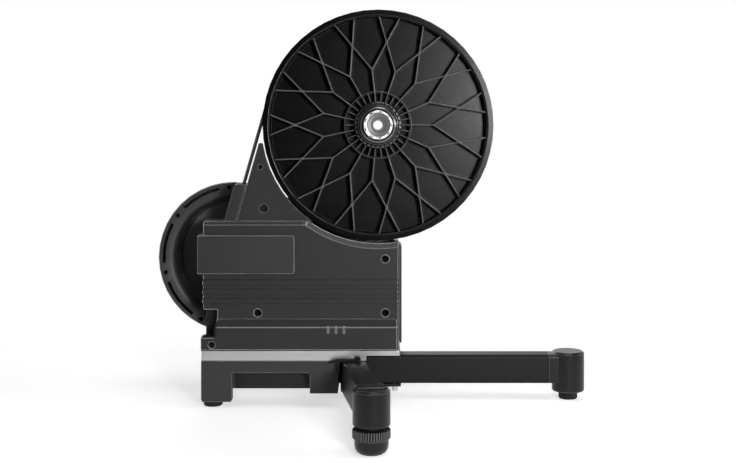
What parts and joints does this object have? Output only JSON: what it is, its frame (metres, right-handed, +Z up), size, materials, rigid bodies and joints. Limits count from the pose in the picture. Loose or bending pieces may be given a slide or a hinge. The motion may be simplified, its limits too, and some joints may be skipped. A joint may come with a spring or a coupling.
{
  "type": "direct drive bike trainer",
  "caption": "Indoor bike trainer: large ribbed drive pulley and hub on an arm, belt to an offset flywheel, scalloped housing, plate base, folding side legs and a fixed front leg.",
  "frame": {"origin": "middle of the footprint, on the floor", "axes": "+X towards the bike's front wheel, along the front leg; +Y away from the drive side, along the hub's axis; +Z up. Y = 0 is the bike's mid-plane."},
  "size_m": [0.5416, 0.5444, 0.4864],
  "materials": {
    "housing": "fine moulded texture",
    "pulley": "satin moulded",
    "belt": "matt ribbed",
    "casting": "dark satin paint",
    "flywheel": "turned and dark coated",
    "plate": "brushed",
    "tube": "satin black paint",
    "steel": "bright turned",
    "dark_steel": "dark phosphate",
    "rubber": "matt",
    "board": "lacquered",
    "light": "clear diffuser"
  },
  "bodies": {
    "trainer_body": {"hub_axle": "steel", "drive_end_cap": "steel", "far_end_cap": "dark_steel", "drive_belt": "belt", "flywheel_bearing_near": "steel", "flywheel_bearing_far": "steel", "idler_bolt": "steel", "tensioner_arm": "dark_steel", "drive_side_cover": "housing", "cover_screw_1": "dark_steel", "cover_screw_2": "dark_steel", "cover_screw_3": "dark_steel", "badge_plate": "housing", "power_socket": "rubber", "status_light_guide": "light", "control_board": "board", "belt_chute": "housing", "nip_guard": "housing", "main_frame": "casting", "far_side_cover": "housing", "chassis_plate": "plate", "base_housing": "housing", "front_leg_tube": "tube", "front_leg_foot": "housing", "front_leg_pad": "rubber", "leg_bracket": "tube", "front_leg_bolt_near": "steel", "front_leg_bolt_far": "steel", "rear_pad_near": "rubber", "rear_pad_far": "rubber", "brake_rail": "casting", "brake_motor": "dark_steel", "near_leg_pivot_bolt": "steel", "near_lock_lever_pin": "steel", "far_leg_pivot_bolt": "steel", "far_lock_lever_pin": "steel"},
    "flywheel_group": {"flywheel": "flywheel", "flywheel_shaft": "steel", "flywheel_pulley": "dark_steel"},
    "pulley_group": {"drive_pulley": "pulley", "hub_seal": "rubber", "pulley_bearing_near": "steel", "pulley_bearing_far": "steel"},
    "freehub": {"freehub_body": "steel"},
    "idler": {"idler_roller": "dark_steel"},
    "near_leg": {"near_leg_tube": "tube", "near_leg_foot_housing": "housing"},
    "far_leg": {"far_leg_tube": "tube", "far_leg_foot_housing": "housing"},
    "near_ring": {"near_leg_adjuster_ring": "rubber"},
    "far_ring": {"far_leg_adjuster_ring": "rubber"},
    "near_foot": {"near_leg_levelling_foot": "housing"},
    "far_foot": {"far_leg_levelling_foot": "housing"},
    "near_lever": {"near_lock_lever": "tube"},
    "far_lever": {"far_lock_lever": "tube"},
    "brake_carrier": {"brake_magnet_carrier": "dark_steel"}
  },
  "joints": [
    {"name": "flywheel_spin", "type": "hinge", "parent": "trainer_body", "child": "flywheel_group", "pos_m": [-0.1743, 0, 0.1756], "axis": [0, 1, 0], "continuous": true},
    {"name": "pulley_spin", "type": "hinge", "parent": "trainer_body", "child": "pulley_group", "pos_m": [0.0103, 0, 0.345], "axis": [0, 1, 0], "continuous": true},
    {"name": "freehub_spin", "type": "hinge", "parent": "pulley_group", "child": "freehub", "pos_m": [0.0103, 0, 0.345], "axis": [0, 1, 0], "continuous": true},
    {"name": "idler_spin", "type": "hinge", "parent": "trainer_body", "child": "idler", "pos_m": [-0.1827, 0, 0.2146], "axis": [0, 1, 0], "continuous": true},
    {"name": "near_leg_fold", "type": "hinge", "parent": "trainer_body", "child": "near_leg", "pos_m": [-0.0217, -0.038, 0.04], "axis": [0, 0, 1], "range_deg": [0, 83]},
    {"name": "far_leg_fold", "type": "hinge", "parent": "trainer_body", "child": "far_leg", "pos_m": [-0.0217, 0.038, 0.04], "axis": [0, 0, 1], "range_deg": [-83, 0]},
    {"name": "near_ring_turn", "type": "hinge", "parent": "near_leg", "child": "near_ring", "pos_m": [0.00343, -0.25193, 0.022], "axis": [0, 0, 1], "range_deg": [0, 900]},
    {"name": "near_foot_travel", "type": "slide", "parent": "near_leg", "child": "near_foot", "axis": [0, 0, -1], "range_m": [0, 0.0102]},
    {"name": "near_lever_lift", "type": "hinge", "parent": "trainer_body", "child": "near_lever", "pos_m": [-0.0137, -0.0595, 0.0611], "axis": [0, 1, 0], "range_deg": [0, 12]},
    {"name": "far_ring_turn", "type": "hinge", "parent": "far_leg", "child": "far_ring", "pos_m": [0.00343, 0.25193, 0.022], "axis": [0, 0, 1], "range_deg": [0, 900]},
    {"name": "far_foot_travel", "type": "slide", "parent": "far_leg", "child": "far_foot", "axis": [0, 0, -1], "range_m": [0, 0.0102]},
    {"name": "far_lever_lift", "type": "hinge", "parent": "trainer_body", "child": "far_lever", "pos_m": [-0.0137, 0.0595, 0.0611], "axis": [0, 1, 0], "range_deg": [0, 12]},
    {"name": "brake_slide", "type": "slide", "parent": "trainer_body", "child": "brake_carrier", "axis": [1, 0, 0], "range_m": [-0.008, 0]}
  ],
  "couplings": [
    {"joint": "pulley_spin", "follows": "flywheel_spin", "ratio": 0.10712},
    {"joint": "idler_spin", "follows": "flywheel_spin", "ratio": -1.4327},
    {"joint": "near_foot_travel", "follows": "near_ring_turn", "m_per_rad": 0.0006366},
    {"joint": "far_foot_travel", "follows": "far_ring_turn", "m_per_rad": 0.0006366}
  ]
}
